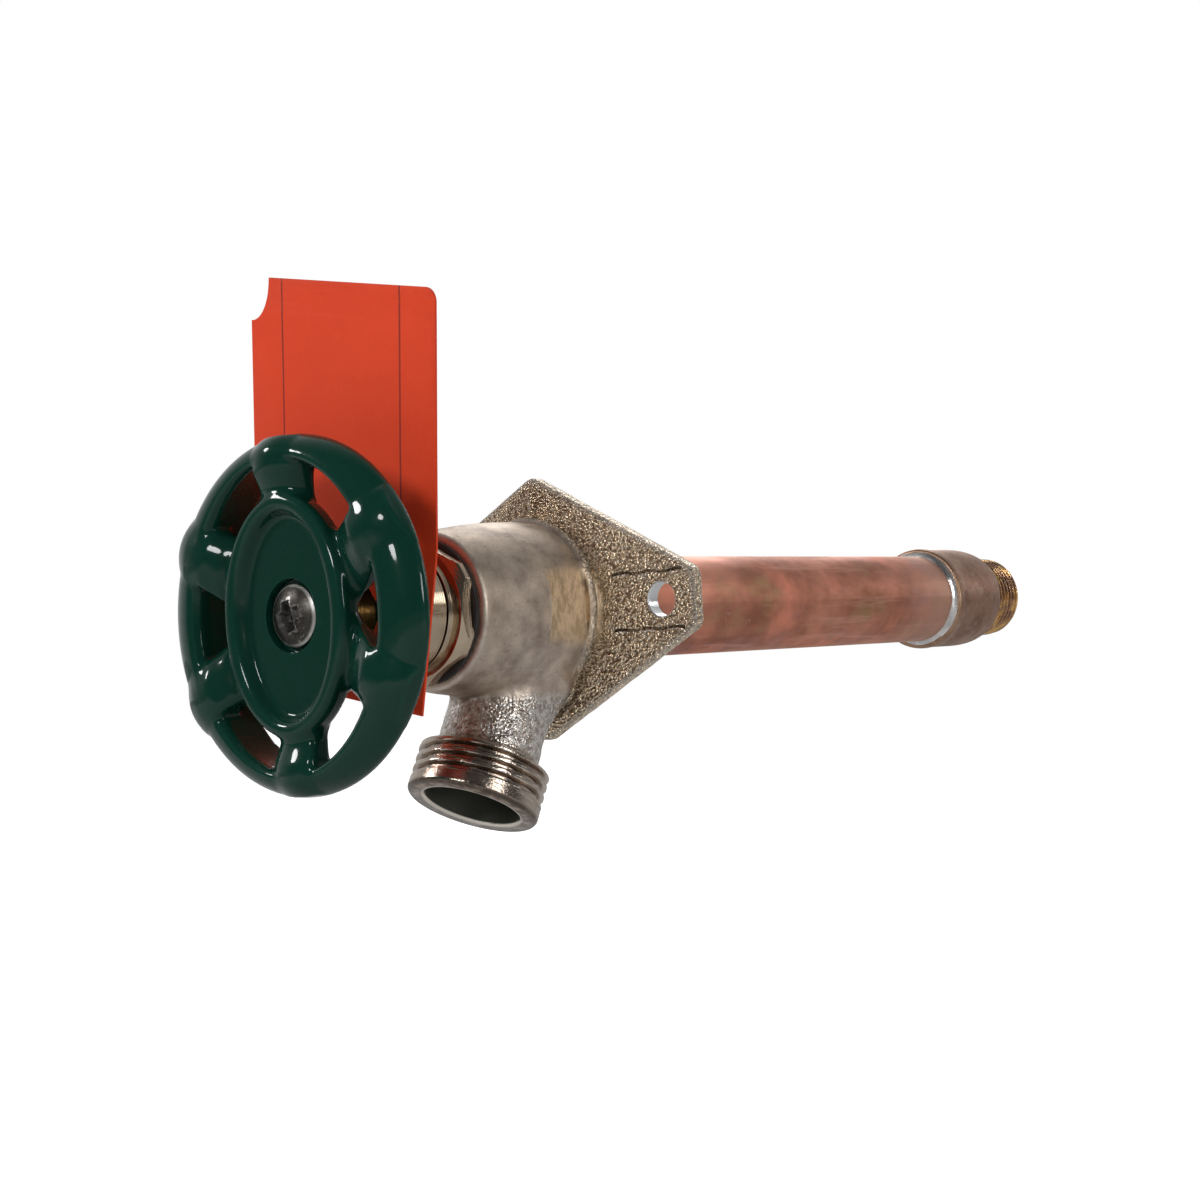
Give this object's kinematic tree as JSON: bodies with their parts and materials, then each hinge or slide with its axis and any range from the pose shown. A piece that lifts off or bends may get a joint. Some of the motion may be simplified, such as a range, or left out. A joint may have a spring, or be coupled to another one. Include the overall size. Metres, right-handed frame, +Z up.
{
  "type": "wall hydrant",
  "caption": "Frost-free wall hydrant: handwheel, threaded hose nozzle on a screw-on wall flange, long copper tube with the valve seat and a male and solder inlet at its end.",
  "frame": {"origin": "middle of the flange's wall face, on the tube's axis, half way between the two wall screw holes", "axes": "+Y along the tube into the wall, -Y out to the handwheel, +Z up, nozzle pointing down and forward"},
  "size_m": [0.0824, 0.2574, 0.1118],
  "materials": {
    "plated_casting": "nickel-plated rough sand casting",
    "plated_brass": "nickel-plated, turned and polished",
    "copper_tube": "drawn copper, heat-tinted by soldering",
    "fitting_brass": "turned brass, oxidised by the torch",
    "solder": "bright tin solder",
    "green_enamel": "glossy dark green enamel",
    "screw_steel": "plain steel with a worn recess",
    "tag_card": "matte orange-red card",
    "stem_brass": "turned brass",
    "gasket_fibre": "dark fibre",
    "packing_graphite": "graphite packing",
    "valve_rubber": "black rubber",
    "guide_plastic": "natural acetal",
    "spring_steel": "drawn stainless wire"
  },
  "bodies": {
    "hydrant_body": {"body_casting": "plated_casting", "tube": "copper_tube", "inlet_fitting": "fitting_brass", "front_solder": "solder", "rear_solder": "solder", "bonnet_gasket": "gasket_fibre", "bonnet": "plated_brass", "vent_clip": "spring_steel", "stem_packing": "packing_graphite", "packing_washer": "stem_brass", "packing_nut": "plated_brass", "check_seat": "stem_brass", "check_guide": "guide_plastic", "check_spring": "spring_steel"},
    "washer_plunger": {"washer_holder": "stem_brass", "swivel_pins": "spring_steel", "seat_washer": "valve_rubber", "washer_screw": "stem_brass"},
    "stem_assembly": {"stem": "stem_brass", "operating_rod": "stem_brass", "rod_pin": "spring_steel", "rod_guide": "guide_plastic", "handwheel": "green_enamel", "lock_washer": "screw_steel", "handle_screw": "screw_steel"},
    "check_valve": {"check_poppet": "guide_plastic", "check_seal": "valve_rubber"},
    "vacuum_breaker": {"vent_disc": "valve_rubber"},
    "tag": {"product_tag": "tag_card"}
  },
  "joints": [
    {"name": "plunger_slide", "type": "slide", "parent": "hydrant_body", "child": "washer_plunger", "axis": [0, -1, 0], "range_m": [0, 0.007]},
    {"name": "handwheel_turn", "type": "hinge", "parent": "washer_plunger", "child": "stem_assembly", "pos_m": [0, -0.0694, 0], "axis": [0, -1, 0], "range_deg": [0, 990]},
    {"name": "check_slide", "type": "slide", "parent": "hydrant_body", "child": "check_valve", "axis": [0, -1, 0], "range_m": [0, 0.003], "stiffness_N_per_m": 120, "springref_m": -0.003, "deforming": ["check_spring"]},
    {"name": "vent_slide", "type": "slide", "parent": "hydrant_body", "child": "vacuum_breaker", "axis": [0, -1, 0], "range_m": [0, 0.0015]},
    {"name": "tag_swing", "type": "hinge", "parent": "hydrant_body", "child": "tag", "pos_m": [0, -0.0519, 0], "axis": [0, -1, 0], "continuous": true}
  ],
  "couplings": [
    {"joint": "plunger_slide", "follows": "handwheel_turn", "m_per_rad": 0.00040425}
  ]
}
